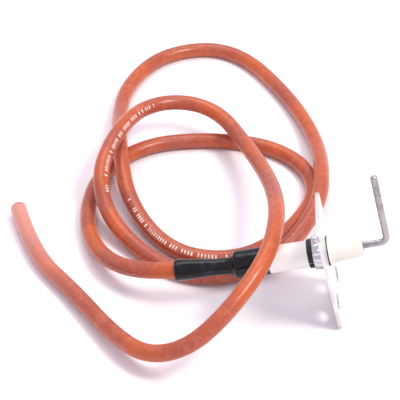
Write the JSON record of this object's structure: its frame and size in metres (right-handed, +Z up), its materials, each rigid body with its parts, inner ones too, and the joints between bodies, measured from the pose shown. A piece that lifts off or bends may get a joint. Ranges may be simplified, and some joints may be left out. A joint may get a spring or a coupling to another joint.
{
  "type": "flame sensor probe",
  "caption": "Ceramic-insulated flame sensing electrode on a flat mounting plate, with a shrink-sleeved crimp joint to a long loose silicone lead.",
  "frame": {"origin": "middle of the probe's own box (without the lead) on the surface it stands on", "axes": "+X along the probe towards the electrode end, which is tilted up; +Y across the plate; +Z up"},
  "size_m": [0.1615, 0.2372, 0.0668],
  "materials": {
    "zinc_plated_steel": "bright zinc plate",
    "alumina": "matt fired alumina",
    "fire_cement": "rough cement",
    "graphite_gasket": "matt",
    "bright_collar": "bright plate",
    "black_spring_steel": "black oxide",
    "heat_resisting_wire": "drawn, grey oxide",
    "tinned_crimp": "tin plate",
    "shrink_sleeve": "satin black",
    "silicone_rubber": "soft satin",
    "tinned_conductor": "tinned strand"
  },
  "bodies": {
    "root": {"mounting_plate": "zinc_plated_steel", "ceramic_insulator": "alumina", "front_cement_plug": "fire_cement", "rear_cement_plug": "fire_cement", "front_gasket": "graphite_gasket", "crimp_collar": "bright_collar", "retaining_ring": "black_spring_steel", "electrode_rod": "heat_resisting_wire", "crimp_barrel": "tinned_crimp", "heat_shrink_sleeve": "shrink_sleeve", "cable_jacket": "silicone_rubber", "cable_conductor": "tinned_conductor"}
  },
  "joints": []
}
